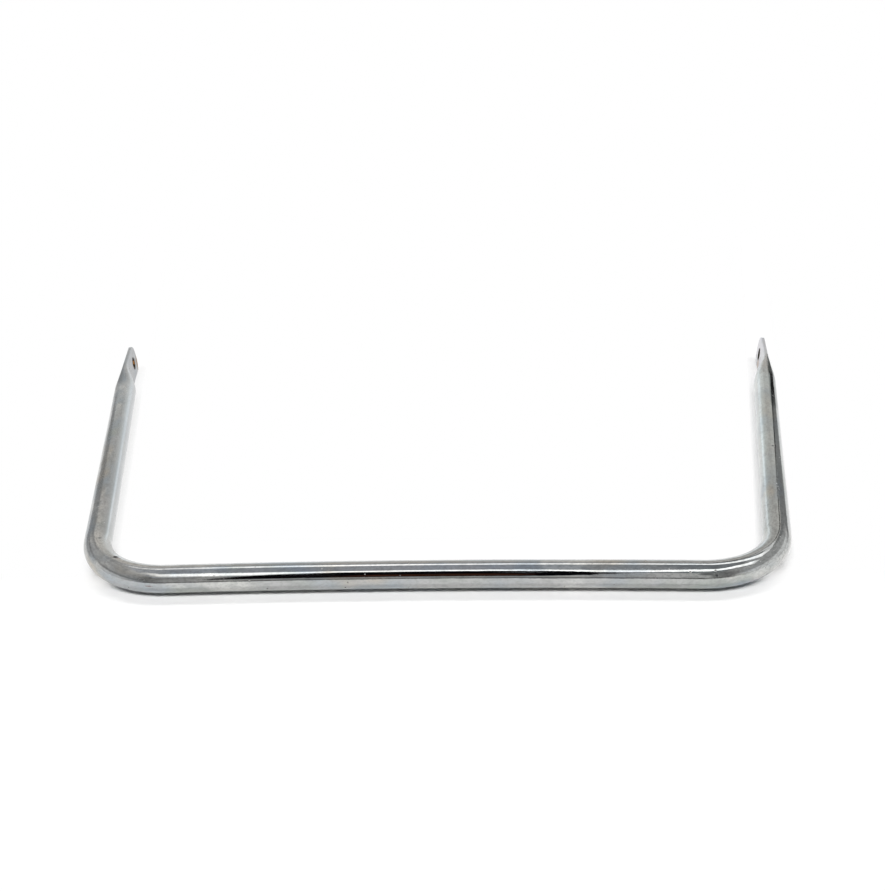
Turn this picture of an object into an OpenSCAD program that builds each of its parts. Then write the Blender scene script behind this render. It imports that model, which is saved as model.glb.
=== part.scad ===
// A support bar for a vehicle's spoiler: one round steel tube bent to a wide U,
// with both ends pressed flat and pierced for a bolt.
// It lies as it rests on a bench: the crossbar along X, the legs towards +Y,
// with the crossbar's underside and the lower edges of both tabs on Z = 0.

/* [Tube] */
// Outside diameter of the tube
tube_d = 12.7; // [8:0.1:22]
// Wall thickness of the tube
wall_t = 1.2; // [0.8:0.1:2]

/* [Bent shape] */
// Length of the crossbar between its two bends
bar_len = 236; // [120:1:500]
// How far the middle of the crossbar bows towards the tabs
bar_bow = 1.9; // [0.5:0.1:8]
// Radius of each bend, to the middle of the tube
bend_r = 40.6; // [25:0.1:80]
// Angle by which each leg leans out from square to the crossbar
leg_splay = 13.2; // [0:0.1:30]
// Straight round length of each leg, from its bend to the pressed end
leg_len = 183; // [60:1:300]

/* [Pressed ends] */
// Length over which the round tube goes flat
press_len = 29; // [18:1:60]
// Length of the flat tab, to its tip
tab_len = 33.5; // [27:0.5:60]
// How far the flat tab sits in from the middle of the tube
tab_inset = 0.2; // [0:0.1:4]
// Angle by which the flat tab turns in from the line of its leg
tab_turn = 2.5; // [0:0.5:12]
// Angle by which the top of the flat tab leans out
tab_lean = 4.5; // [0:0.5:10]
// Rounding of the two corners at each tip
corner_r = 8; // [1:0.5:9]
// Gap of the seam between the two pressed walls
seam_gap = 0.2; // [0.1:0.05:0.5]
// Diameter of the bolt hole
hole_d = 7; // [4:0.1:10]
// From the middle of the bolt hole to the tip
hole_edge = 14; // [9:0.5:18]

/* [Hidden] */

// Facets round the tube, round the outside and the inside of a pressed end
tube_fn = 96;
skin_fn = 48;
bore_fn = 24;
// Stations along a pressed end where it goes flat
press_steps = 14;
// Facets along the crossbar's bow
bow_steps = 24;
// The stretches of tube lap each other inside the wall, so that they fuse to one piece
lap_len = 0.2;
lap_play = 0.03;
// How far a cut runs past what it cuts
cut_over = 1;
// Straight stretch left between the two corners of a tip, at least
tip_land = 1;

tube_r = tube_d / 2;
// The crossbar is one arc, which ends at the two bends
bow_r = (pow(bar_len / 2, 2) + pow(bar_bow, 2)) / (2 * bar_bow);
bow_half = asin(bar_len / 2 / bow_r);
// Middle of the right bend, and the point where the right leg starts
bend_x = bar_len / 2 + bend_r * sin(bow_half);
bend_y = bend_r * cos(bow_half);
leg_x = bend_x + bend_r * cos(leg_splay);
leg_y = bend_y - bend_r * sin(leg_splay);
front_y = bend_y - bend_r;

// The pressed tube keeps the length of its wall's middle line
flat_t = 2 * wall_t + seam_gap;
wall_mid_r = tube_r - wall_t / 2;
function flat_of(half_t) = PI * (wall_mid_r - (half_t - wall_t / 2));
tab_w = flat_of(flat_t / 2) + flat_t;
// Along a leg: the start of the flat tab, its tip and its hole
flat_at = leg_len + press_len;
tip_at = flat_at + tab_len;
hole_at = tip_at - hole_edge;
tip_r = min(corner_r, (tab_w - tip_land) / 2);

// Lean of the whole U when the crossbar and both tabs touch the bench
tab_low = (tab_w - flat_t) / 2 * cos(tab_lean) + flat_t / 2;
rest_y = leg_y - front_y + flat_at * cos(leg_splay) + tab_inset * sin(leg_splay);
rest_lean = acos(tube_r / norm([tab_low, rest_y])) - atan2(rest_y, tab_low);
// Depth over all, from the front of the crossbar to the tips
tip_low = tab_w / 2 - tip_r;
tip_in = shift_at(tip_at) + flat_t / 2 + tip_low * sin(tab_lean);
tip_y = leg_y - front_y + tip_at * cos(leg_splay) + tip_in * sin(leg_splay);
depth = tube_r + tip_y * cos(rest_lean) + tip_low * sin(rest_lean);

// How far the pressed section has come: 0 round, 1 flat
function pressed(y) =
    let (u = min(1, max(0, (y - leg_len) / press_len)))
    u * u * (3 - 2 * u);

// How far the section's middle has moved in from the line of the leg
function shift_at(y) =
    let (u = min(1, max(0, (y - leg_len) / press_len)))
    tab_inset * u * u * (3 - 2 * u)
    + press_len * tan(tab_turn) * u * u * (u - 1)
    + max(0, y - flat_at) * tan(tab_turn);

// One section of the tube across the leg, its side skin_in inside the outer one
function section(y, skin_in, fn) =
    let (half_t = tube_r + (flat_t / 2 - tube_r) * pressed(y), lean = tab_lean * pressed(y))
    let (rad = half_t - skin_in, flat = flat_of(half_t))
    [for (i = [0 : fn - 1])
        let (a = (i + 0.5) * 360 / fn)
        let (x = rad * cos(a), z = rad * sin(a) + sign(sin(a)) * flat / 2)
        [x * cos(lean) + z * sin(lean) - shift_at(y), y, z * cos(lean) - x * sin(lean)]];

// A solid through sections with the same number of points
module loft(sections) {
    n = len(sections[0]);
    rings = len(sections);
    points = [for (s = sections) for (p = s) p];
    side = [for (k = [0 : rings - 2], i = [0 : n - 1])
        let (a = k * n + i, b = k * n + (i + 1) % n)
        each [[a, b, b + n], [a, b + n, a + n]]];
    start = [[for (i = [n - 1 : -1 : 0]) i]];
    end = [[for (i = [0 : n - 1]) (rings - 1) * n + i]];
    polyhedron(points = points, faces = concat(side, start, end));
}

module tube_section(play = 0) {
    difference() {
        circle(r = tube_r + play, $fn = tube_fn);
        circle(r = tube_r - wall_t - play, $fn = tube_fn);
    }
}

// One arc, from just inside the left bend to just inside the right one
module crossbar() {
    reach = bow_half + lap_len / bow_r * 180 / PI;
    translate([0, bar_bow, 0])
        translate([0, -bow_r, 0])
            rotate_extrude(angle = 2 * reach, start = 90 - reach,
                           $fn = ceil(bow_steps * 180 / reach))
                translate([bow_r, 0]) tube_section();
}

module bend() {
    translate([bend_x, bend_y, 0])
        rotate_extrude(angle = 90 - leg_splay + bow_half, start = -90 - bow_half, $fn = tube_fn)
            translate([bend_r, 0]) tube_section(lap_play);
}

module leg() {
    translate([0, -lap_len, 0])
        rotate([-90, 0, 0]) linear_extrude(height = leg_len + lap_len) tube_section();
}

// The tip's outline, seen from the side, as what it takes away from the flat
module tip_cut() {
    translate([-shift_at(hole_at), 0, 0])
        rotate([0, tab_lean, 0])
            rotate([90, 0, 90])
                linear_extrude(height = 2 * tab_w, center = true)
                    difference() {
                        translate([tip_at - tip_r, -tab_w])
                            square([tip_r + 2 * cut_over, 2 * tab_w]);
                        for (z = [-tip_low, tip_low])
                            translate([tip_at - tip_r, z]) circle(r = tip_r, $fn = tube_fn);
                        translate([tip_at - tip_r - cut_over, -tip_low])
                            square([tip_r + cut_over, 2 * tip_low]);
                    }
}

module bolt_hole() {
    translate([-shift_at(hole_at), hole_at, 0])
        rotate([0, 0, tab_turn])
            rotate([0, 90 + tab_lean, 0])
                cylinder(d = hole_d, h = tube_d, center = true, $fn = tube_fn);
}

// Pressed end of a leg: round where it leaves the tube, flat at its tip
module pressed_end() {
    stations = [for (k = [0 : press_steps]) leg_len + press_len * k / press_steps];
    difference() {
        loft([for (y = concat([leg_len - lap_len], stations, [tip_at + cut_over / 2]))
            section(y, lap_play, skin_fn)]);
        loft([for (y = concat([leg_len - lap_len - cut_over], stations, [tip_at + cut_over]))
            section(y, wall_t - lap_play, bore_fn)]);
        tip_cut();
        bolt_hole();
    }
}

// One leg in place, with its bend
module half_side() {
    bend();
    translate([leg_x, leg_y, 0])
        rotate([0, 0, -leg_splay]) {
            leg();
            pressed_end();
        }
}

module support_bar() {
    color([0.78, 0.79, 0.8])
        translate([0, tube_r - depth / 2, tube_r])
            rotate([rest_lean, 0, 0])
                translate([0, -front_y, 0]) {
                    crossbar();
                    half_side();
                    mirror([1, 0, 0]) half_side();
                }
}

support_bar();
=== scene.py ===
from math import acos, asin, atan2, cos, hypot, pi, radians, sin, sqrt, tan

import bmesh
import bpy
from mathutils import Matrix, Vector


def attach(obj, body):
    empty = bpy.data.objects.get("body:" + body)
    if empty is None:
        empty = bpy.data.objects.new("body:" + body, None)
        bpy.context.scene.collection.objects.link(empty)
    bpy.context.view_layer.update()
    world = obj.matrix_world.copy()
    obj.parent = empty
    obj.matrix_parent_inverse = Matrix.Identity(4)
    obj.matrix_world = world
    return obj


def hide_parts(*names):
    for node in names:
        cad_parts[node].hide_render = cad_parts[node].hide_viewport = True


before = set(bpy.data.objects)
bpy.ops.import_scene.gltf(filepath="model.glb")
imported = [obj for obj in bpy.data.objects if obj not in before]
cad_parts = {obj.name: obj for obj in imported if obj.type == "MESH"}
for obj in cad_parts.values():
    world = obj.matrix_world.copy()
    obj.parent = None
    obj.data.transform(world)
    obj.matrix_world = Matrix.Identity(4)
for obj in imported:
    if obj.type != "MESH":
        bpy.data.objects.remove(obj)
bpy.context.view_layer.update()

mm = 0.001

bar = {
    "tubeWidth": 12.7 * mm,
    "wall": 1.2 * mm,
    "barLength": 236 * mm,  # straight part of the crossbar
    "barBow": 1.9 * mm,  # how far its middle bows in
    "bendRadius": 40.6 * mm,
    "legSplay": radians(13.2),
    "legLength": 183 * mm,
    "pressLength": 29 * mm,  # where the tube goes flat
    "tabLength": 33.5 * mm,
    "tabInset": 0.2 * mm,
    "tabTurn": radians(2.5),
    "tabLean": radians(4.5),
    "cornerRadius": 8 * mm,
    "tipLand": 1 * mm,  # left straight between the two corners, at least
    "seamGap": 0.2 * mm,
    "holeWidth": 7 * mm,
    "holeEdge": 14 * mm,  # from the hole's middle to the tip
    "headStart": 6.5 * mm,  # the mesh round the hole starts this far before it
    "edgeRound": 0.35 * mm,  # rounding of the cut tip
    "holeRound": 0.25 * mm,
    "barRings": 44,
    "bendRings": 40,
    "legRings": 46,
    "pressRings": 34,
    "tabRings": 7,
    "crestSteps": 8,  # facets on each half of a pressed fold
    "sideSteps": 32,  # facets across a pressed side
    "straightSteps": 10,
    "cornerSteps": 14,
    "tipSteps": 3,
    "headSteps": 9,  # from the tab's outline in to the hole
    "rimSteps": 4,
    "weld": 0.0002 * mm,  # points closer than this become one
    "sliver": 0.0001 * mm,
    "middleWeld": 0.001 * mm,
    "sharpAngle": radians(38),
}

tubeR = bar["tubeWidth"] / 2
bowR = ((bar["barLength"] / 2) ** 2 + bar["barBow"] ** 2) / (2 * bar["barBow"])
bowHalf = asin(bar["barLength"] / 2 / bowR)
bendX = bar["barLength"] / 2 + bar["bendRadius"] * sin(bowHalf)
bendY = bar["bendRadius"] * cos(bowHalf)
legX = bendX + bar["bendRadius"] * cos(bar["legSplay"])
legY = bendY - bar["bendRadius"] * sin(bar["legSplay"])
frontY = bendY - bar["bendRadius"]
flatHalf = bar["wall"] + bar["seamGap"] / 2  # half the tab's thickness
slitHalf = bar["seamGap"] / 2
flatAt = bar["legLength"] + bar["pressLength"]
tipAt = flatAt + bar["tabLength"]
holeAt = tipAt - bar["holeEdge"]
headAt = holeAt - bar["headStart"]
holeR = bar["holeWidth"] / 2


def flatOf(halfThick):
    # the wall keeps its length when it is pressed
    return pi * (tubeR - bar["wall"] / 2 - (halfThick - bar["wall"] / 2))


slitEnd = flatOf(flatHalf) / 2 + slitHalf
tabHalfW = flatOf(flatHalf) / 2 + flatHalf
cornerR = min(bar["cornerRadius"], tabHalfW - bar["tipLand"] / 2)
tipLow = tabHalfW - cornerR


def pressShare(along):
    return min(1, max(0, (along - bar["legLength"]) / bar["pressLength"]))


def pressed(along):
    # how flat the tube is: 0 is round, 1 is flat
    u = pressShare(along)
    return u * u * (3 - 2 * u)


def shiftAt(along):
    # how far the section's middle has moved in from the line of the leg
    u = pressShare(along)
    slope = tan(bar["tabTurn"])
    turning = bar["pressLength"] * slope * u * u * (u - 1)
    return bar["tabInset"] * pressed(along) + turning + max(0, along - flatAt) * slope


# the whole bar leans a little, so that the crossbar and both tabs touch the bench
tabLow = (tabHalfW - flatHalf) * cos(bar["tabLean"]) + flatHalf
restY = legY - frontY + flatAt * cos(bar["legSplay"]) + bar["tabInset"] * sin(bar["legSplay"])
restLean = acos(tubeR / hypot(tabLow, restY)) - atan2(restY, tabLow)
tipIn = shiftAt(tipAt) + flatHalf + tipLow * sin(bar["tabLean"])
tipY = legY - frontY + tipAt * cos(bar["legSplay"]) + tipIn * sin(bar["legSplay"])
barDepth = tubeR + tipY * cos(restLean) + tipLow * sin(restLean)
restOnBench = (Matrix.Translation((0, tubeR - barDepth / 2, tubeR))
               @ Matrix.Rotation(restLean, 4, "X") @ Matrix.Translation((0, -frontY, 0)))


# places on the right half: x is out of the U, z is up
bendSweep = pi / 2 - bar["legSplay"] + bowHalf
legStart = bowR * bowHalf + bar["bendRadius"] * bendSweep  # along the tube from its middle


def onCrossbar(turn, x, z):
    return restOnBench @ Vector(((bowR - x) * sin(turn),
                                 bar["barBow"] - bowR + (bowR - x) * cos(turn), z))


def onBend(turn, x, z):
    a = -pi / 2 - bowHalf + turn
    r = bar["bendRadius"] + x
    return restOnBench @ Vector((bendX + r * cos(a), bendY + r * sin(a), z))


def onLeg(along, x, z):
    lean = bar["tabLean"] * pressed(along)
    out = x * cos(lean) + z * sin(lean) - shiftAt(along)
    s, c = sin(bar["legSplay"]), cos(bar["legSplay"])
    return restOnBench @ Vector((legX + along * s + out * c, legY + along * c - out * s,
                                 z * cos(lean) - x * sin(lean)))


# shares of half the tube's outline, crest to crest, that land on the pressed fold's facets
foldShare = flatHalf / 2 / tubeR
crestShares = [foldShare * k / bar["crestSteps"] for k in range(bar["crestSteps"])]
sideShares = [foldShare + (1 - 2 * foldShare) * k / bar["sideSteps"] for k in range(bar["sideSteps"] + 1)]
shares = crestShares + sideShares + [1 - s for s in reversed(crestShares)]


def halfSection(halfThick, skin):
    # from the lower crest to the upper one, skin deep inside the outer face
    flat, r = flatOf(halfThick), halfThick - skin
    fold = pi * halfThick / 2
    points = []
    for share in shares:
        run = share * pi * tubeR
        if run <= fold:
            a = run / halfThick
            points.append((r * sin(a), -flat / 2 - r * cos(a)))
        elif run <= fold + flat:
            points.append((r, run - fold - flat / 2))
        else:
            a = (run - fold - flat) / halfThick
            points.append((r * cos(a), flat / 2 + r * sin(a)))
    return points


def slitPoint(z):
    # where a point of the flat's outer face has its fellow on the wall of the slit
    foldZ = slitEnd - slitHalf
    over = min(max(0, abs(z) - foldZ), slitHalf)
    x = sqrt(max(0, slitHalf ** 2 - over ** 2))
    return x, max(-slitEnd, min(slitEnd, z))


def addPoint(mesh, place, station, x, z):
    # each point also keeps its place on the straight tube, for the wear along it
    along = {onCrossbar: bowR * station, onBend: bowR * bowHalf + bar["bendRadius"] * station,
             onLeg: legStart + station}[place]
    point = mesh.verts.new(place(station, x, z))
    point[mesh.verts.layers.float_vector["unbent"]] = (along, x, z)
    return point


def addRing(mesh, place, station, halfThick, skin, atSlit=False):
    section = halfSection(halfThick, skin)
    if atSlit:
        section = [slitPoint(z) for x, z in halfSection(halfThick, 0)]
    back = [(-x, z) for x, z in section[-2:0:-1]]
    return [addPoint(mesh, place, station, x, z) for x, z in section + back]


def bridge(mesh, ringA, ringB):
    for i in range(len(ringA)):
        j = (i + 1) % len(ringA)
        mesh.faces.new((ringA[i], ringA[j], ringB[j], ringB[i]))


def headColumns():
    # points round the tab's outline, from its lower edge to its upper one: along and up, the way out
    # there, and whether the tube is cut there
    foldY = tipAt - cornerR
    straight, corner, tip = bar["straightSteps"], bar["cornerSteps"], bar["tipSteps"]
    lower = [(headAt + (foldY - headAt) * k / straight, -tabHalfW, 0, -1, False) for k in range(straight)]
    for k in range(corner + 1):
        a = k * pi / 2 / corner
        lower.append((foldY + cornerR * sin(a), -tipLow - cornerR * cos(a), sin(a), -cos(a), True))
    end = [(tipAt, -tipLow + 2 * tipLow * k / tip, 1, 0, True) for k in range(1, tip)]
    return lower + end + [(y, -z, ny, -nz, cut) for y, z, ny, nz, cut in reversed(lower)]


def foldDepth(z):
    # half thickness of the pressed tube at height z
    inset = tabHalfW - abs(z)
    return flatHalf if inset >= flatHalf else sqrt(max(0, flatHalf ** 2 - (flatHalf - inset) ** 2))


def rounding(distance, radius):
    return 0 if distance >= radius else radius - sqrt(max(0, radius ** 2 - (radius - distance) ** 2))


def facePoint(column, inset):
    # a point of the tab's face, inset from its outline: along, up and out
    y, z, ny, nz, cut = column
    py, pz = y - ny * inset, z - nz * inset
    radius = bar["edgeRound"] * foldDepth(z) / flatHalf if cut else 0
    return py, pz, foldDepth(pz) - rounding(inset, radius)


def ringPoint(ring, side, k):
    # k counts from the lower crest to the upper one on either side of the ring
    return ring[k] if side > 0 else ring[(len(ring) - k) % len(ring)]


def addEdgeBand(mesh, columns, side, ring, isSlit):
    # loops from the tab's outline in, over the fold and the rounded edge
    steps = bar["crestSteps"]
    insets = [flatHalf * (1 - cos(k * pi / 2 / steps)) for k in range(steps + 1)]
    loops = []
    for k, inset in enumerate(insets):
        loop = [ringPoint(ring, side, k)]
        for column in columns[1:-1]:
            y, z, x = facePoint(column, inset)
            if isSlit:
                x, z = slitPoint(z)
            loop.append(addPoint(mesh, onLeg, y, side * x, z))
        loops.append(loop + [ringPoint(ring, side, len(shares) - 1 - k)])
    for k in range(steps):
        for i in range(len(columns) - 1):
            heights = [abs(facePoint(columns[n], insets[m])[1]) for n in (i, i + 1) for m in (k, k + 1)]
            if isSlit and min(heights) >= slitEnd:
                continue  # solid wall here: the slit ends further in
            mesh.faces.new((loops[k][i], loops[k][i + 1], loops[k + 1][i + 1], loops[k + 1][i]))
    return loops


def addHoleLoops(mesh, columns, side, ring, isSlit, loop):
    # closed loops from the edge band in to the hole, and over its rounded rim
    across = range(len(shares) - 2 - bar["crestSteps"], bar["crestSteps"], -1)
    section = halfSection(flatHalf, 0)
    outline = [facePoint(c, flatHalf)[:2] for c in columns] + [(headAt, section[k][1]) for k in across]
    loop = loop + [ringPoint(ring, side, k) for k in across]
    angles = [atan2(z, y - holeAt) for y, z in outline]
    reach = [hypot(y - holeAt, z) for y, z in outline]
    rim, headSteps, rimSteps = bar["holeRound"], bar["headSteps"], bar["rimSteps"]
    radii = [[far + (holeR + rim - far) * ((k + 1) / headSteps) for far in reach] for k in range(headSteps)]
    radii += [[holeR + rim * (1 - sin(k * pi / 2 / rimSteps))] * len(reach) for k in range(1, rimSteps + 1)]
    for loopRadii in radii:
        fresh = []
        for a, r in zip(angles, loopRadii):
            x, z = flatHalf - rounding(r - holeR, rim), r * sin(a)
            if isSlit:
                x, z = slitPoint(z)
            fresh.append(addPoint(mesh, onLeg, holeAt + r * cos(a), side * x, z))
        bridge(mesh, loop, fresh)
        loop = fresh
    return loop


def closeTip(mesh, columns, edge):
    # the cut end: one face where the wall is solid, two beside the slit
    for i in range(len(columns) - 1):
        if not (columns[i][4] and columns[i + 1][4]):
            continue
        isOpen = [abs(columns[n][1]) < slitEnd for n in (i, i + 1)]
        front = [edge[1, False][i], edge[1, False][i + 1]]
        back = [edge[-1, False][i + 1], edge[-1, False][i]]
        if all(isOpen):
            for side in (1, -1):
                outer, inner = edge[side, False], edge[side, True]
                mesh.faces.new((outer[i], outer[i + 1], inner[i + 1], inner[i]))
        elif any(isOpen):
            n, shut = (i + 1, i) if isOpen[1] else (i, i + 1)
            slitFront, slitBack = edge[1, True][n], edge[-1, True][n]
            if isOpen[1]:
                mesh.faces.new(front + [slitFront, slitBack] + back)
            else:
                mesh.faces.new(front + back + [slitBack, slitFront])
            mesh.faces.new((edge[1, True][shut], slitFront, slitBack))
        else:
            mesh.faces.new(front + back)


def addHead(mesh, outerRing, innerRing):
    # the end of the tab with its hole: on either side an outer face and a face of the slit
    columns = headColumns()
    edge, rim = {}, {}
    for side in (1, -1):
        for isSlit, ring in ((False, outerRing), (True, innerRing)):
            loops = addEdgeBand(mesh, columns, side, ring, isSlit)
            edge[side, isSlit] = loops[0]
            rim[side, isSlit] = addHoleLoops(mesh, columns, side, ring, isSlit, loops[-1])
        bridge(mesh, rim[side, False], rim[side, True])  # the hole's wall
    closeTip(mesh, columns, edge)


def ringPlaces():
    # from the middle of the crossbar to the mesh round the hole
    stretches = [(onCrossbar, 0, bowHalf, bar["barRings"]), (onBend, 0, bendSweep, bar["bendRings"]),
                 (onLeg, 0, bar["legLength"], bar["legRings"]),
                 (onLeg, bar["legLength"], flatAt, bar["pressRings"]),
                 (onLeg, flatAt, headAt, bar["tabRings"])]
    places = [(place, start + (end - start) * k / rings)
              for place, start, end, rings in stretches for k in range(rings)]
    return places + [(onLeg, headAt)]


def makeBar():
    mesh = bmesh.new()
    unbent = mesh.verts.layers.float_vector.new("unbent")
    places = ringPlaces()
    before = {}
    for n, (place, station) in enumerate(places):
        halfThick = tubeR + (flatHalf - tubeR) * (pressed(station) if place is onLeg else 0)
        for skin in (0, bar["wall"]):
            atSlit = skin > 0 and n == len(places) - 1
            ring = addRing(mesh, place, station, halfThick, skin, atSlit)
            if skin in before:
                bridge(mesh, before[skin], ring)
            before[skin] = ring
    addHead(mesh, before[0], before[bar["wall"]])
    bmesh.ops.remove_doubles(mesh, verts=mesh.verts, dist=bar["weld"])
    bmesh.ops.dissolve_degenerate(mesh, edges=mesh.edges, dist=bar["sliver"])
    bmesh.ops.mirror(mesh, geom=mesh.verts[:] + mesh.edges[:] + mesh.faces[:], axis="X",
                     merge_dist=bar["middleWeld"])
    bmesh.ops.recalc_face_normals(mesh, faces=mesh.faces)
    for point in mesh.verts:
        if point.co.x < 0:
            point[unbent].x *= -1
    data = bpy.data.meshes.new("supportBar")
    mesh.to_mesh(data)
    mesh.free()
    data.shade_smooth()
    data.set_sharp_from_angle(angle=bar["sharpAngle"])
    piece = bpy.data.objects.new("supportBar", data)
    bpy.context.scene.collection.objects.link(piece)
    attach(piece, "root")
    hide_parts("support_bar")
    return piece


def addNode(tree, kind, **settings):
    node = tree.nodes.new(kind)
    for name, value in settings.items():
        setattr(node, name, value)
    return node


def feed(tree, socket, value):
    # a link, a colour or a number
    if isinstance(value, bpy.types.NodeSocket):
        tree.links.new(value, socket)
    elif socket.type == "RGBA":
        socket.default_value = (*value, 1)
    else:
        socket.default_value = value


def compute(tree, operation, first, second=0.0):
    node = addNode(tree, "ShaderNodeMath", operation=operation)
    feed(tree, node.inputs[0], first)
    feed(tree, node.inputs[1], second)
    return node.outputs[0]


def times(tree, first, *others):
    for other in others:
        first = compute(tree, "MULTIPLY", first, other)
    return first


def plus(tree, first, *others):
    for other in others:
        first = compute(tree, "ADD", first, other)
    return first


def minus(tree, first, second):
    return compute(tree, "SUBTRACT", first, second)


def restOf(tree, share):
    return minus(tree, 1.0, share)


def fade(tree, value, start, end, kind="SMOOTHSTEP"):
    # 0 before start, 1 after end
    node = addNode(tree, "ShaderNodeMapRange", interpolation_type=kind)
    feed(tree, node.inputs["Value"], value)
    feed(tree, node.inputs["From Min"], start)
    feed(tree, node.inputs["From Max"], end)
    return node.outputs[0]


def blend(tree, share, first, second, kind="MIX"):
    # sockets 6, 7 and 2 are the ones for colours
    node = addNode(tree, "ShaderNodeMix", data_type="RGBA", blend_type=kind)
    feed(tree, node.inputs[0], share)
    feed(tree, node.inputs[6], first)
    feed(tree, node.inputs[7], second)
    return node.outputs[2]


def noise(tree, vector, scale, detail, stretch=(1, 1, 1), offset=(0, 0, 0)):
    place = tree.nodes.new("ShaderNodeMapping")
    feed(tree, place.inputs["Vector"], vector)
    feed(tree, place.inputs["Location"], offset)
    feed(tree, place.inputs["Scale"], stretch)
    node = tree.nodes.new("ShaderNodeTexNoise")
    feed(tree, node.inputs["Vector"], place.outputs[0])
    feed(tree, node.inputs["Scale"], scale)
    feed(tree, node.inputs["Detail"], detail)
    return node.outputs["Fac"]


def grey(level):
    return (level, level, level)


def curve(tree, value, stops):
    # a colour or grey level that runs through the given (position, level) stops
    ramp = tree.nodes.new("ShaderNodeValToRGB")
    elements = ramp.color_ramp.elements
    for n, (position, level) in enumerate(stops):
        stop = elements[n] if n < 2 else elements.new(position)
        stop.position = position
        stop.color = (*(grey(level) if isinstance(level, (int, float)) else level), 1)
    feed(tree, ramp.inputs[0], value)
    return ramp.outputs[0]


def split(tree, vector):
    parts = tree.nodes.new("ShaderNodeSeparateXYZ")
    feed(tree, parts.inputs[0], vector)
    return parts.outputs[:]


def objectPlace(tree):
    return tree.nodes.new("ShaderNodeTexCoord").outputs["Object"]


def lengthOf(tree, vector):
    node = addNode(tree, "ShaderNodeVectorMath", operation="LENGTH")
    feed(tree, node.inputs[0], vector)
    return node.outputs["Value"]


# the plating: stops run from the left tip (0) to the right one (1)
chrome = {
    "clean": [(0.0, (0.44, 0.445, 0.455)), (0.042, (0.45, 0.455, 0.46)), (0.052, (0.58, 0.585, 0.585)),
              (0.07, (0.57, 0.575, 0.575)), (0.085, (0.505, 0.515, 0.52)), (0.29, (0.505, 0.515, 0.52)),
              (0.37, (0.475, 0.478, 0.475)), (0.61, (0.485, 0.485, 0.48)), (0.72, (0.52, 0.54, 0.53)),
              (0.80, (0.565, 0.60, 0.59)), (0.93, (0.565, 0.60, 0.59)),
              (0.965, (0.66, 0.65, 0.68)), (1.0, (0.68, 0.67, 0.70))],
    "roughness": [(0.0, 0.36), (0.065, 0.36), (0.085, 0.24), (0.12, 0.17), (0.30, 0.12), (0.36, 0.06),
                  (0.42, 0.03), (0.68, 0.03), (0.75, 0.06), (0.90, 0.09), (0.93, 0.17), (0.965, 0.30)],
    # how mottled, how wavy and how pitted it is
    "mottling": [(0.0, 0.3), (0.06, 0.9), (0.3, 1.0), (0.38, 0.7), (0.60, 0.65), (0.64, 1.0),
                 (0.71, 0.9), (0.77, 0.55), (0.92, 0.5), (1.0, 0.2)],
    "waves": [(0.0, 0.3), (0.06, 0.9), (0.24, 0.8), (0.29, 0.5), (0.34, 0.2), (0.40, 0.15), (0.50, 0.25),
              (0.55, 0.65), (0.62, 0.8), (0.67, 1.0), (0.72, 0.6), (0.92, 0.55), (1.0, 0.2)],
    "pitting": [(0.0, 0.0), (0.3, 0.02), (0.6, 0.0), (0.64, 0.14), (0.72, 0.08), (0.94, 0.04)],
    "reach": 0.42,  # half the tube's length, as these stops count it
    "blue": (0.36, 0.41, 0.45),
    "brown": (0.50, 0.465, 0.405),
    "green": (0.385, 0.415, 0.385),
    "dull": (0.30, 0.305, 0.30),
    "pale": (0.66, 0.655, 0.63),
    # the clouds, specks and so on: scale, detail, stretch and offset of the noise
    "clouds": (90, 3, (0.45, 1, 1)),
    "specks": (420, 3, (0.5, 1, 1), (0.3, 0.1, 0.2)),
    "hue": (60, 2, (0.4, 1, 1), (0.7, 0.4, 0.9)),
    "paleSpots": (48, 3, (0.5, 1, 1), (0.2, 0.9, 0.4)),
    "grit": (1100, 2, (0.6, 1, 1), (0.5, 0.2, 0.6)),
    "scratches": (700, 2, (0.03, 1, 1)),
    "ripples": (110, 1, (0.7, 1, 1), (1, 8, 3)),
    # the noise levels between which each of them comes up
    "cloudEdge": (0.38, 0.66),
    "speckEdge": (0.45, 0.75),
    "blueEdge": (0.34, 0.48),
    "greenEdge": (0.52, 0.66),
    "paleEdge": (0.54, 0.66),
    "gritEdge": (0.42, 0.68),
    "scratchEdge": (0.5, 0.8),
    "markEdge": (0.45, 1.25),  # in radii of the mark
    "speckShare": 0.6,
    "gritShare": 0.45,
    # what is added to the roughness
    "cloudDulls": 0.12,
    "scratchDulls": 0.08,
    "dirtDulls": 0.5,
    "dirtHides": 0.85,  # how much of the metal's mirror dirt takes away
    # heights, as shares of the relief's depth
    "relief": 0.12 * mm,
    "rippleHeight": 0.6,
    "leastRipple": 0.1,
    "speckHeight": 0.30,
    "scratchDepth": 0.05,
    "dirtDepth": 0.25,
}

# where a leg's side differs: from nothing to full along the tube and out of the U, and how much; where a
# side has a tint, it is a painted reflection, darker plating where the metal mirrors dark things
legSides = {
    "leftInner": {"along": (-0.10, -0.15), "out": (-0.5 * mm, -4 * mm), "share": 0.75},  # smoother
    # painted reflection: a dark grey band along the left leg's outer side and its pressed end, where the
    # metal mirrors something dark
    "leftOuterPaintedReflection": {"along": (-0.15, -0.26), "out": (-1.5 * mm, 4 * mm), "share": 0.35,
                  "tint": (0.22, 0.22, 0.215)},
    # painted reflection: a faint dark grey band along the right leg's outer side, where the metal mirrors
    # something dark
    "rightOuterPaintedReflection": {"along": (0.13, 0.22), "out": (-1.5 * mm, 4 * mm), "share": 0.12,
                   "tint": (0.22, 0.22, 0.215)},
    # painted reflection: the right pressed end's outer flank painted dark, where the metal mirrors
    # something dark
    "rightFlankPaintedReflection": {"along": (0.304, 0.316), "out": (0.8 * mm, 1.8 * mm), "share": 0.75,
                   "tint": (0.10, 0.12, 0.11)},
}

pits = {
    "scale": 230,
    "edge": (0.06, 0.13),
    "patches": (150, 1, (1, 1, 1), (2, 5, 1)),
    "patchEdge": (0.54, 0.62),
    "colour": (0.16, 0.15, 0.14),
    "share": 0.7,
}

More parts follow.
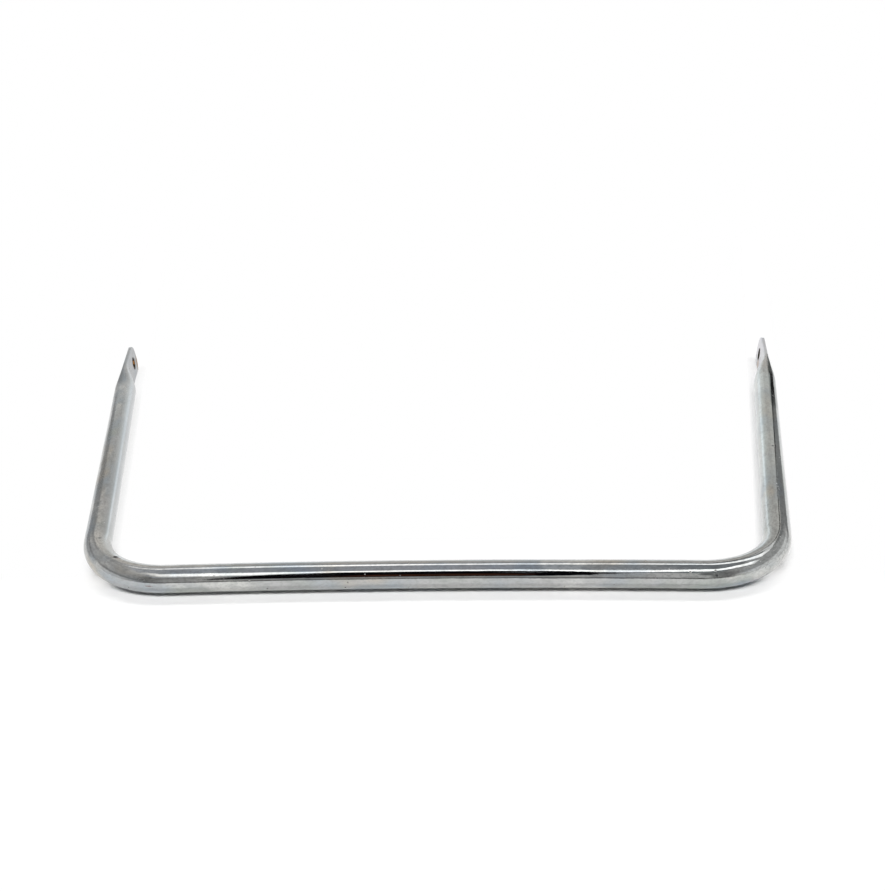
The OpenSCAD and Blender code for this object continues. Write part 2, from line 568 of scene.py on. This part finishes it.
# small marks: middle and radii in mm, colour, and how much of the chrome they hide
marks = {
    "leftPit": ((-142.4, -123.7, 12.7), (1.5, 1.1, 1.4), (0.012, 0.005, 0.004), 1.0),
    # a dull grey patch on top of the left bend
    "leftBendDullPatch": ((-147.5, -112, 11.5), (7, 13, 5), (0.33, 0.32, 0.28), 0.38),
    "leftPitTail": ((-140.6, -124.8, 12.6), (1.2, 0.5, 0.8), (0.16, 0.09, 0.06), 0.7),
    "leftLegSpot": ((-155.1, -107.2, 12.8), (0.9, 1.0, 0.9), (0.01, 0.01, 0.01), 0.7),
    "leftFrontSpot": ((-127.2, -137.0, 9.4), (1.9, 1.2, 0.5), (0.005, 0.005, 0.005), 0.6),
    "leftFrontRed": ((-124, -138.2, 6.8), (1.9, 0.8, 0.4), (0.25, 0.16, 0.14), 0.6),
    "rightLegNick": ((177.8, -21.9, 14.1), (0.9, 1.0, 0.8), (0.01, 0.01, 0.01), 0.85),
    "rightFrontPit": ((122.6, -137.7, 9.3), (1.1, 0.9, 0.7), (0.005, 0.008, 0.01), 0.9),
    "rightFrontStreak": ((118.6, -137.6, 10.0), (4, 0.9, 0.55), (0.005, 0.01, 0.012), 0.8),
    "leftHoleRim": ((-210.7, 124.6, 9.4), (4, 6.4, 4.0), (0.06, 0.04, 0.02), 0.8),
    "rightHoleRim": ((210.7, 124.2, 9.2), (4, 5.4, 3.9), (0.10, 0.08, 0.05), 0.75),
    "rightHoleBloom": ((209.5, 120, 4.4), (3, 5.0, 3.4), (0.62, 0.45, 0.34), 0.6),
    "crossbarTopSpot": ((93, -131, 12.6), (0.8, 0.8, 0.5), (0.14, 0.11, 0.08), 0.7),
}

rust = {
    "dark": (0.02, 0.014, 0.007),
    "orange": (0.46, 0.22, 0.07),
    "grain": (900, 3),
    "holeReach": (3.9 * mm, 4.7 * mm),
    "holeGrain": (0.25, 0.45),
    "orangeHeight": 9.0 * mm,  # the left hole is orange half way up
    "orangeEdge": (0.4 * mm, 1.8 * mm),
    "bloom": (0.42, 0.27, 0.15),  # a paler one on the left tip
    "bloomAt": (-212.6 * mm, 138.0 * mm, 5.0 * mm),
    "bloomReach": (3.4 * mm, 7.0 * mm),
    "bloomGrain": (0.25, 0.5),
    "bloomShare": 0.85,
}


def onSide(tree, tube, side):
    return times(tree, fade(tree, tube["along"], *side["along"]), fade(tree, tube["out"], *side["out"]),
                 side["share"])


def nearby(tree, place, at, reach):
    # 1 near a point, 0 far from it
    away = addNode(tree, "ShaderNodeVectorMath", operation="DISTANCE")
    feed(tree, away.inputs[0], place)
    feed(tree, away.inputs[1], at)
    return restOf(tree, fade(tree, away.outputs["Value"], *reach))


def tubePlaces(tree):
    # places on the straight tube, and how worn it is there
    unbent = addNode(tree, "ShaderNodeAttribute", attribute_name="unbent").outputs["Vector"]
    along, out = split(tree, unbent)[:2]
    way = fade(tree, along, -chrome["reach"], chrome["reach"], "LINEAR")
    tube = {"unbent": unbent, "along": along, "out": out, "way": way}
    smoother = restOf(tree, onSide(tree, tube, legSides["leftInner"]))
    tube["mottling"] = times(tree, curve(tree, way, chrome["mottling"]), smoother)
    tube["wavy"] = times(tree, curve(tree, way, chrome["waves"]), smoother)
    tube["clouds"] = times(tree, fade(tree, noise(tree, unbent, *chrome["clouds"]), *chrome["cloudEdge"]),
                           tube["mottling"])
    tube["specks"] = noise(tree, unbent, *chrome["specks"])
    tube["scratches"] = noise(tree, unbent, *chrome["scratches"])
    return tube


def mottledColour(tree, tube):
    # cloudy patches of colour, longer along the tube than across it, with specks and grit, and painted dark
    # reflections along the legs' outer sides
    unbent, mottling = tube["unbent"], tube["mottling"]
    hue = noise(tree, unbent, *chrome["hue"])
    tint = blend(tree, fade(tree, hue, *chrome["blueEdge"]), chrome["brown"], chrome["blue"])
    tint = blend(tree, fade(tree, hue, *chrome["greenEdge"]), tint, chrome["green"])
    colour = blend(tree, tube["clouds"], curve(tree, tube["way"], chrome["clean"]), tint)
    paleSpots = fade(tree, noise(tree, unbent, *chrome["paleSpots"]), *chrome["paleEdge"])
    colour = blend(tree, times(tree, paleSpots, mottling), colour, chrome["pale"])
    specks = fade(tree, tube["specks"], *chrome["speckEdge"])
    colour = blend(tree, times(tree, specks, mottling, chrome["speckShare"]), colour, chrome["dull"])
    grit = fade(tree, noise(tree, unbent, *chrome["grit"]), *chrome["gritEdge"])
    colour = blend(tree, times(tree, grit, mottling, chrome["gritShare"]), colour, chrome["dull"])
    # painted reflections: the tints darken the plating where the metal mirrors dark things, on the legs'
    # outer sides and the right pressed end
    for side in legSides.values():
        if "tint" in side:
            colour = blend(tree, onSide(tree, tube, side), colour, side["tint"])
    return colour


def finePits(tree, tube):
    cells = tree.nodes.new("ShaderNodeTexVoronoi")
    feed(tree, cells.inputs["Vector"], tube["unbent"])
    feed(tree, cells.inputs["Scale"], pits["scale"])
    patches = noise(tree, tube["unbent"], *pits["patches"])
    patches = plus(tree, patches, curve(tree, tube["way"], chrome["pitting"]))
    pit = restOf(tree, fade(tree, cells.outputs["Distance"], *pits["edge"]))
    return times(tree, pit, fade(tree, patches, *pits["patchEdge"]))


def addMarks(tree, place, colour, dirt):
    for name, (middle, radii, markColour, share) in marks.items():
        spot = addNode(tree, "ShaderNodeMapping", vector_type="TEXTURE", label=name)
        feed(tree, spot.inputs["Vector"], place)
        feed(tree, spot.inputs["Location"], [v * mm for v in middle])
        feed(tree, spot.inputs["Scale"], [v * mm for v in radii])
        hides = restOf(tree, fade(tree, lengthOf(tree, spot.outputs[0]), *chrome["markEdge"]))
        hides = times(tree, hides, share)
        colour = blend(tree, hides, colour, markColour)
        dirt = compute(tree, "MAXIMUM", dirt, hides)
    return colour, dirt


def addRust(tree, place, colour, dirt):
    # in both bolt holes and on the left tip
    grain = noise(tree, place, *rust["grain"])
    hole = onLeg(holeAt, 0, 0)
    rightHole = nearby(tree, place, hole, rust["holeReach"])
    leftHole = nearby(tree, place, (-hole.x, hole.y, hole.z), rust["holeReach"])
    rusty = compute(tree, "MAXIMUM", leftHole, rightHole)
    rusty = times(tree, rusty, fade(tree, grain, *rust["holeGrain"]))
    x, _, z = split(tree, place)
    fromMiddle = compute(tree, "ABSOLUTE", minus(tree, z, rust["orangeHeight"]))
    orange = restOf(tree, fade(tree, fromMiddle, *rust["orangeEdge"]))
    orange = times(tree, orange, compute(tree, "LESS_THAN", x, 0.0))
    colour = blend(tree, rusty, colour, blend(tree, orange, rust["dark"], rust["orange"]))
    bloom = nearby(tree, place, rust["bloomAt"], rust["bloomReach"])
    bloom = times(tree, bloom, rust["bloomShare"], fade(tree, grain, *rust["bloomGrain"]))
    colour = blend(tree, bloom, colour, rust["bloom"])
    return colour, compute(tree, "MAXIMUM", dirt, compute(tree, "MAXIMUM", rusty, bloom))


def chromeMaterial():
    material = bpy.data.materials.new("wornChrome")
    material.use_nodes = True
    tree = material.node_tree
    shader = tree.nodes["Principled BSDF"]
    place = objectPlace(tree)
    tube = tubePlaces(tree)
    dirt = finePits(tree, tube)
    colour = mottledColour(tree, tube)
    colour = blend(tree, times(tree, dirt, pits["share"]), colour, pits["colour"])
    colour, dirt = addMarks(tree, place, colour, dirt)
    colour, dirt = addRust(tree, place, colour, dirt)
    feed(tree, shader.inputs["Base Color"], colour)
    feed(tree, shader.inputs["Metallic"], restOf(tree, times(tree, dirt, chrome["dirtHides"])))

    # dull patches, fine scratches along the tube, rough dirt
    scratched = fade(tree, tube["scratches"], *chrome["scratchEdge"])
    rough = plus(tree, curve(tree, tube["way"], chrome["roughness"]),
                 times(tree, tube["clouds"], chrome["cloudDulls"]),
                 times(tree, scratched, chrome["scratchDulls"]), times(tree, dirt, chrome["dirtDulls"]))
    feed(tree, shader.inputs["Roughness"], rough)

    wavy = tube["wavy"]
    rippled = plus(tree, times(tree, wavy, chrome["rippleHeight"]), chrome["leastRipple"])
    height = times(tree, noise(tree, tube["unbent"], *chrome["ripples"]), rippled)
    height = plus(tree, height, times(tree, tube["specks"], times(tree, wavy, chrome["speckHeight"])),
                  times(tree, tube["scratches"], times(tree, wavy, chrome["scratchDepth"])))
    height = minus(tree, height, times(tree, dirt, chrome["dirtDepth"]))
    bump = tree.nodes.new("ShaderNodeBump")
    feed(tree, bump.inputs["Strength"], 1)
    feed(tree, bump.inputs["Distance"], chrome["relief"])
    feed(tree, bump.inputs["Height"], height)
    feed(tree, shader.inputs["Normal"], bump.outputs[0])
    return material


floor = {
    "size": 60,
    "colour": (1, 1, 1),
    # the floor glows plain white in sight, an even white backdrop that comes up between these distances
    # from the origin
    "white": (0.27, 0.6),
    # and these from the tube's middle line, beside the bends and the legs
    "clear": (7 * mm, 9.2 * mm),
    "bendAcross": (0.148, 0.165),
    "bendBack": (-0.142, -0.120),
    "legBack": (-0.112, -0.09),
    # the glow's share closer to the tube, outside and inside the U: painted light that makes the tube's
    # shadow lighter there, more on some sides than others
    "leftShares": (0.85, 0.72),
    "rightShares": (0.45, 0.35),
    # and the glow's share on the bench between the legs, painted light that lightens the shadow there
    "insideAcross": (0.145, 0.165),
    "insideBack": (-0.131, -0.122),
    "insideShare": 0.75,
}


def sightRay(tree):
    # 1 for what the camera sees itself, in metal or through glass
    rays = tree.nodes.new("ShaderNodeLightPath").outputs
    seen = compute(tree, "MAXIMUM", rays["Is Camera Ray"], rays["Is Glossy Ray"])
    return compute(tree, "MAXIMUM", seen, rays["Is Transmission Ray"])


def flatMesh(name, faces, material):
    points = [p for face in faces for p in face]
    numbers = iter(range(len(points)))
    data = bpy.data.meshes.new(name)
    data.from_pydata(points, [], [[next(numbers) for p in face] for face in faces])
    data.materials.append(material)
    panel = bpy.data.objects.new(name, data)
    bpy.context.scene.collection.objects.link(panel)
    return panel


def emptyMaterial(name):
    material = bpy.data.materials.new(name)
    material.use_nodes = True
    material.node_tree.nodes.clear()
    return material, material.node_tree


def choose(tree, test, first, second):
    # the second value where the test is 1, the first where it is 0
    return plus(tree, times(tree, first, restOf(tree, test)), times(tree, second, test))


def awayFromTube(tree, x, y):
    # how far out of the U a place on the floor is from the tube's middle line, seen from above
    barY = tubeR - barDepth / 2
    across = compute(tree, "ABSOLUTE", x)
    s, c = sin(bar["legSplay"]), cos(bar["legSplay"])
    legLine = legX * c - (barY + legY - frontY) * s
    leg = minus(tree, minus(tree, times(tree, across, c), times(tree, y, s)), legLine)
    out = minus(tree, across, bendX)
    back = minus(tree, y, barY + bendY - frontY)
    squares = [compute(tree, "POWER", compute(tree, "ABSOLUTE", side), 2.0) for side in (out, back)]
    bend = minus(tree, compute(tree, "SQRT", plus(tree, *squares)), bar["bendRadius"])
    crossbar = minus(tree, barY + bar["barBow"] / 2 - frontY, y)
    isLeg = compute(tree, "GREATER_THAN", plus(tree, times(tree, out, s), times(tree, back, c)), 0.0)
    isBar = compute(tree, "LESS_THAN", out, 0.0)
    return choose(tree, isLeg, choose(tree, isBar, bend, crossbar), leg)


def whiteFloor():
    material, tree = emptyMaterial("whiteFloor")
    place = objectPlace(tree)
    x, y = split(tree, place)[:2]
    across = compute(tree, "ABSOLUTE", x)
    out = awayFromTube(tree, x, y)
    isRight = compute(tree, "GREATER_THAN", x, 0.0)
    isInside = compute(tree, "LESS_THAN", out, 0.0)
    close = choose(tree, isRight, choose(tree, isInside, *floor["leftShares"]),
                   choose(tree, isInside, *floor["rightShares"]))
    clear = fade(tree, compute(tree, "ABSOLUTE", out), *floor["clear"])
    # glow that paints the shadow lighter beside the legs and the bends, but not before the crossbar
    bends = times(tree, fade(tree, y, *floor["bendBack"]), fade(tree, across, *floor["bendAcross"]))
    legs = compute(tree, "MAXIMUM", bends, fade(tree, y, *floor["legBack"]))
    beside = times(tree, choose(tree, clear, close, 1.0), legs)
    inside = times(tree, restOf(tree, fade(tree, across, *floor["insideAcross"])),
                   fade(tree, y, *floor["insideBack"]), floor["insideShare"])
    far = fade(tree, lengthOf(tree, place), *floor["white"])
    white = compute(tree, "MAXIMUM", far, compute(tree, "MAXIMUM", beside, inside))
    # the floor glows plain white in sight by this share: painted light that lifts the tube's shadow
    # unevenly round it
    mix = tree.nodes.new("ShaderNodeMixShader")
    plain = tree.nodes.new("ShaderNodeBsdfDiffuse")
    feed(tree, plain.inputs["Color"], floor["colour"])
    feed(tree, mix.inputs[0], times(tree, white, sightRay(tree)))
    feed(tree, mix.inputs[1], plain.outputs[0])
    feed(tree, mix.inputs[2], tree.nodes.new("ShaderNodeEmission").outputs[0])
    feed(tree, tree.nodes.new("ShaderNodeOutputMaterial").inputs[0], mix.outputs[0])
    half = floor["size"] / 2
    flatMesh("floor", [[(-half, -half, 0), (half, -half, 0), (half, half, 0), (-half, half, 0)]], material)


# the small tent round the bench, seen only in the metal: the middle of its floor is the origin
tent = {
    "left": -0.5,
    "right": 0.5,
    "back": 0.5,
    "front": -0.8,
    "top": 0.62,
    "gap": 0.001,  # between its walls and the bench
    # from left to right
    "ceiling": [(0.0, (0.46, 0.48, 0.52)), (0.36, (0.45, 0.47, 0.51)), (0.43, (0.49, 0.51, 0.55)),
                (0.54, (0.48, 0.50, 0.55)), (0.59, (0.42, 0.45, 0.49)), (0.68, (0.42, 0.44, 0.46)),
                (0.76, (0.28, 0.30, 0.32)), (1.0, (0.34, 0.35, 0.36))],
    # from the bench up, as shares of the tent's height: the white sheet first, then the wall
    "backLevels": [(0.0, (1.20, 1.25, 1.28)), (0.125, (1.16, 1.21, 1.24)), (0.175, (0.87, 0.90, 0.90)),
                   (0.26, (0.76, 0.77, 0.755)), (0.36, (0.67, 0.66, 0.64)), (0.5, (0.655, 0.635, 0.61))],
    "leftLevels": [(0.0, 0.9), (0.15, 0.85), (0.185, 0.34), (0.24, 0.34), (0.28, 0.54), (0.7, 0.56)],
    "rightLevels": [(0.0, 0.9), (0.20, 0.88), (0.235, 0.53), (0.5, 0.56), (0.8, 0.50)],
    # the side walls' back ends are dim, further along near the bench
    "cornerBack": (0.20, 0.36),
    "cornerHeight": 0.16,
    "cornerSlope": 1.2,
    "leftCorner": 0.40,
    "rightCorner": 0.30,
    # and so are their front ends
    "dimFront": (-0.30, -0.70),
    "dim": 0.25,
    # the left wall's foot is white only in front
    "footBack": (-0.06, 0.05),
    "footTop": 0.10,
    "leftFoot": 0.50,
    # the front from left to right, and how much of it is left next to the bench
    "frontLevels": [(0.0, 0.28), (0.14, 0.34), (0.26, 0.46), (0.35, 0.46), (0.6, 0.5), (0.7, 0.70),
                    (0.79, 0.66), (0.84, 0.30), (1.0, 0.30)],
    "frontFoot": [(0.0, 0.42), (0.085, 0.42), (0.15, 1.0)],
    # the walls' cloth is a little uneven
    "uneven": (5, 2),
    "unevenEdge": (0.3, 0.7),
    "darkest": 0.9,
    "lightest": 1.08,
}

# light tubes under the ceiling: pairs of edge points, with the brightness there
strips = {
    "frontStrip": [
        ((-0.49, -0.30, 0.6), (-0.42, -0.17, 0.6), 0.7), ((-0.34, -0.50, 0.6), (-0.29, -0.30, 0.6), 1.7),
        ((-0.23, -0.62, 0.6), (-0.22, -0.375, 0.6), 2.4),
        ((-0.135, -0.53, 0.6), (-0.135, -0.395, 0.6), 2.5),
        ((-0.045, -0.50, 0.6), (-0.045, -0.37, 0.6), 2.4), ((0.05, -0.49, 0.6), (0.05, -0.37, 0.6), 2.6),
        ((0.17, -0.68, 0.6), (0.17, -0.48, 0.6), 2.5), ((0.25, -0.53, 0.6), (0.24, -0.31, 0.6), 2.6),
        ((0.40, -0.44, 0.6), (0.36, -0.28, 0.6), 2.5), ((0.49, -0.30, 0.55), (0.46, -0.14, 0.6), 2.4),
        ((0.49, -0.22, 0.38), (0.49, -0.07, 0.43), 2.2), ((0.49, -0.19, 0.31), (0.49, -0.07, 0.35), 0.9)],
    "rearStrip": [
        ((-0.5, 0.30, 0.6), (-0.45, 0.17, 0.6), 0.8), ((-0.3, 0.33, 0.6), (-0.3, 0.14, 0.6), 1.5),
        ((-0.20, 0.31, 0.6), (-0.20, 0.11, 0.6), 2.1), ((-0.12, 0.29, 0.6), (-0.12, 0.09, 0.6), 2.4),
        ((-0.04, 0.29, 0.6), (-0.04, 0.11, 0.6), 2.2), ((0.15, 0.285, 0.6), (0.15, 0.13, 0.6), 1.8),
        ((0.25, 0.31, 0.6), (0.25, 0.14, 0.6), 2.1), ((0.48, 0.28, 0.52), (0.40, 0.12, 0.58), 2.0),
        ((0.49, 0.28, 0.46), (0.49, 0.08, 0.50), 2.0), ((0.49, 0.24, 0.40), (0.49, 0.05, 0.42), 1.3)],
    # soft light beside them, with one brightness for each of the two points
    "frontGlow": [
        ((-0.46, -0.50, 0.6), (-0.40, -0.40, 0.6), 0.45, 0.8),
        ((-0.36, -0.70, 0.6), (-0.34, -0.50, 0.6), 0.45, 1.3),
        ((-0.24, -0.79, 0.6), (-0.23, -0.62, 0.6), 0.6, 1.8),
        ((-0.165, -0.64, 0.6), (-0.165, -0.56, 0.6), 0.4, 0.9)],
    "rearGlow": [
        ((0.40, 0.487, 0.46), (0.39, 0.487, 0.54), 0.9), ((0.487, 0.43, 0.44), (0.487, 0.43, 0.54), 1.0),
        ((0.487, 0.20, 0.41), (0.487, 0.20, 0.54), 1.1)],
}

# what stands upright before the bar, seen only in the metal: (across, up) points at one depth
reflectedThings = {
    "cloth": {"y": -0.51, "colour": (0.002, 0.002, 0.003),
              "outline": [(-0.187, 0.17), (-0.179, 0.128), (0.07, 0.128), (0.104, 0.19), (0.14, 0.32),
                          (0.104, 0.56), (0.08, 0.598), (-0.143, 0.598), (-0.162, 0.46), (-0.179, 0.32)]},
    "handle": {"y": -0.505, "colour": (0.065, 0.023, 0.012),
               "outline": [(-0.09, 0.16), (0.05, 0.155), (0.065, 0.25), (0.02, 0.29), (-0.07, 0.26)]},
    "strap": {"y": -0.50, "colour": (0.6, 0.6, 0.62),
              "outline": [(0.04, 0.395), (0.075, 0.39), (0.075, 0.41), (0.04, 0.408)]},
    "lip": {"y": -0.26, "colour": grey(0.20),
            "outline": [(0.045, 0.001), (0.15, 0.001), (0.14, 0.017), (0.055, 0.017)]},
}

# the dark seam in the right back corner, which widens towards the bench: how far in from the right
# wall, in from the back wall and up
seamColour = grey(0.015)
seams = {
    "lowerSeam": [(0.055, 0.012, 0.002), (0.012, 0.085, 0.002), (0.012, 0.03, 0.15), (0.042, 0.012, 0.15)],
    "cornerSeam": [(0.042, 0.012, 0.15), (0.012, 0.03, 0.15), (0.010, 0.025, 0.24), (0.040, 0.01, 0.24)],
    "upperSeam": [(0.040, 0.01, 0.24), (0.01, 0.012, 0.24), (0.14, 0.012, 0.62), (0.18, 0.01, 0.62)],
}


def glowMaterial(name, colour):
    # the colour is fixed, or a function that builds it from nodes
    material, tree = emptyMaterial(name)
    glow = tree.nodes.new("ShaderNodeEmission")
    feed(tree, glow.inputs["Color"], colour(tree) if callable(colour) else colour)
    feed(tree, tree.nodes.new("ShaderNodeOutputMaterial").inputs[0], glow.outputs[0])
    return material


def wallLevels(levels, corner=None, foot=None):
    def build(tree):
        place = objectPlace(tree)
        y, z = split(tree, place)[1:]
        colour = curve(tree, times(tree, z, 1 / tent["top"]), levels)
        if foot is not None:
            isFoot = compute(tree, "LESS_THAN", z, tent["footTop"])
            isBack = times(tree, fade(tree, y, *tent["footBack"]), isFoot)
            colour = blend(tree, isBack, colour, grey(foot))
        if corner is not None:
            low = compute(tree, "MAXIMUM", minus(tree, tent["cornerHeight"], z), 0.0)
            run = plus(tree, y, times(tree, low, tent["cornerSlope"]))
            colour = blend(tree, fade(tree, run, *tent["cornerBack"]), colour, grey(corner))
            colour = blend(tree, fade(tree, y, *tent["dimFront"]), colour, grey(tent["dim"]))
        uneven = fade(tree, noise(tree, place, *tent["uneven"]), *tent["unevenEdge"])
        shade = blend(tree, uneven, grey(tent["darkest"]), grey(tent["lightest"]))
        return blend(tree, 1, colour, shade, "MULTIPLY")
    return build


def ceilingLevels(tree):
    x = split(tree, objectPlace(tree))[0]
    return curve(tree, minus(tree, x, tent["left"]), tent["ceiling"])


def frontLevels(tree):
    x, _, z = split(tree, objectPlace(tree))
    level = curve(tree, minus(tree, x, tent["left"]), tent["frontLevels"])
    foot = curve(tree, times(tree, z, 1 / tent["top"]), tent["frontFoot"])
    return blend(tree, foot, grey(0), level)


def levelOfPoint(tree):
    return addNode(tree, "ShaderNodeAttribute", attribute_name="level").outputs["Fac"]


def mirrorPanel(name, faces, colour):
    # a glowing panel that only the metal sees
    panel = flatMesh(name, faces, glowMaterial(name, colour))
    panel.visible_camera = False
    panel.visible_diffuse = False
    panel.visible_shadow = False
    panel.visible_transmission = False
    return panel


def tentWalls():
    left, right, back, front = tent["left"], tent["right"], tent["back"], tent["front"]
    walls = {
        "backWall": ((left, back), (right, back), wallLevels(tent["backLevels"])),
        "leftWall": ((left, front), (left, back),
                     wallLevels(tent["leftLevels"], tent["leftCorner"], tent["leftFoot"])),
        "rightWall": ((right, front), (right, back), wallLevels(tent["rightLevels"], tent["rightCorner"])),
        "frontWall": ((left, front), (right, front), frontLevels),
    }
    gap, top = tent["gap"], tent["top"]
    for name, (start, end, colour) in walls.items():
        mirrorPanel(name, [[(*start, gap), (*end, gap), (*end, top), (*start, top)]], colour)
    corners = [(left, front, top), (right, front, top), (right, back, top), (left, back, top)]
    mirrorPanel("ceiling", [corners], ceilingLevels)
    for name, places in seams.items():
        mirrorPanel(name, [[(right - x, back - y, z) for x, y, z in places]], seamColour)


def standThings():
    for name, thing in reflectedThings.items():
        mirrorPanel(name, [[(x, thing["y"], z) for x, z in thing["outline"]]], thing["colour"])


def tentLights():
    for name, pairs in strips.items():
        steps = list(zip(pairs, pairs[1:]))
        panel = mirrorPanel(name, [[a[0], a[1], b[1], b[0]] for a, b in steps], levelOfPoint)
        levels = panel.data.attributes.new("level", "FLOAT", "POINT")
        levels.data.foreach_set("value", [v for a, b in steps for v in (a[2], a[-1], b[-1], b[2])])


studio = {
    "white": (1, 1, 1),
    "level": 0.10,  # soft light from all round
}

# the two big soft lamps, far off so that they light the bench evenly: place, size and power
lamps = {
    "frontLamp": {"at": (0, -2.54, 5.44), "size": (7, 1.7), "watts": 318},
    "rearLamp": {"at": (0, 3.0, 5.2), "size": (7, 1.3), "watts": 150},
}


def studioWorld():
    # plain white in sight, and softer as a light
    world = bpy.data.worlds.new("studio")
    bpy.context.scene.world = world
    world.use_nodes = True
    tree = world.node_tree
    tree.nodes.clear()
    soft = tree.nodes.new("ShaderNodeBackground")
    feed(tree, soft.inputs["Color"], studio["white"])
    feed(tree, soft.inputs["Strength"], studio["level"])
    seen = tree.nodes.new("ShaderNodeBackground")
    feed(tree, seen.inputs["Color"], studio["white"])
    mix = tree.nodes.new("ShaderNodeMixShader")
    feed(tree, mix.inputs[0], sightRay(tree))
    feed(tree, mix.inputs[1], soft.outputs[0])
    feed(tree, mix.inputs[2], seen.outputs[0])
    feed(tree, tree.nodes.new("ShaderNodeOutputWorld").inputs[0], mix.outputs[0])


def softLamps():
    for name, lamp in lamps.items():
        light = bpy.data.lights.new(name, "AREA")
        light.shape = "RECTANGLE"
        light.size, light.size_y = lamp["size"]
        light.energy = lamp["watts"]
        panel = bpy.data.objects.new(name, light)
        panel.location = lamp["at"]
        panel.rotation_euler = Vector(lamp["at"]).to_track_quat("Z", "Y").to_euler()
        panel.visible_glossy = False
        bpy.context.scene.collection.objects.link(panel)


view = {
    "at": (17.78 * mm, -500.83 * mm, 250.5 * mm),
    "heading": radians(1.834),
    "down": radians(26.017),
    "roll": radians(-1.519),
    "focalPixels": 997.54,
    "imageHeight": 891,
    "sensor": 36,
    "near": 0.01,
    "far": 200,
}


def photoCamera():
    data = bpy.data.cameras.new("camera")
    data.sensor_width = view["sensor"]
    data.lens = view["focalPixels"] / view["imageHeight"] * view["sensor"]
    data.clip_start = view["near"]
    data.clip_end = view["far"]
    camera = bpy.data.objects.new("camera", data)
    turn = (Matrix.Rotation(view["heading"], 4, "Z") @ Matrix.Rotation(pi / 2 - view["down"], 4, "X")
            @ Matrix.Rotation(view["roll"], 4, "Z"))
    camera.matrix_world = Matrix.Translation(view["at"]) @ turn
    bpy.context.scene.collection.objects.link(camera)
    bpy.context.scene.camera = camera


photoCamera()
print("camera placed")
piece = makeBar()
piece.data.materials.append(chromeMaterial())
print("bar made:", len(piece.data.polygons), "faces")
whiteFloor()
tentWalls()
tentLights()
standThings()
print("bench and tent made")
studioWorld()
softLamps()
bpy.context.scene.view_settings.view_transform = "Standard"
print("studio lit")
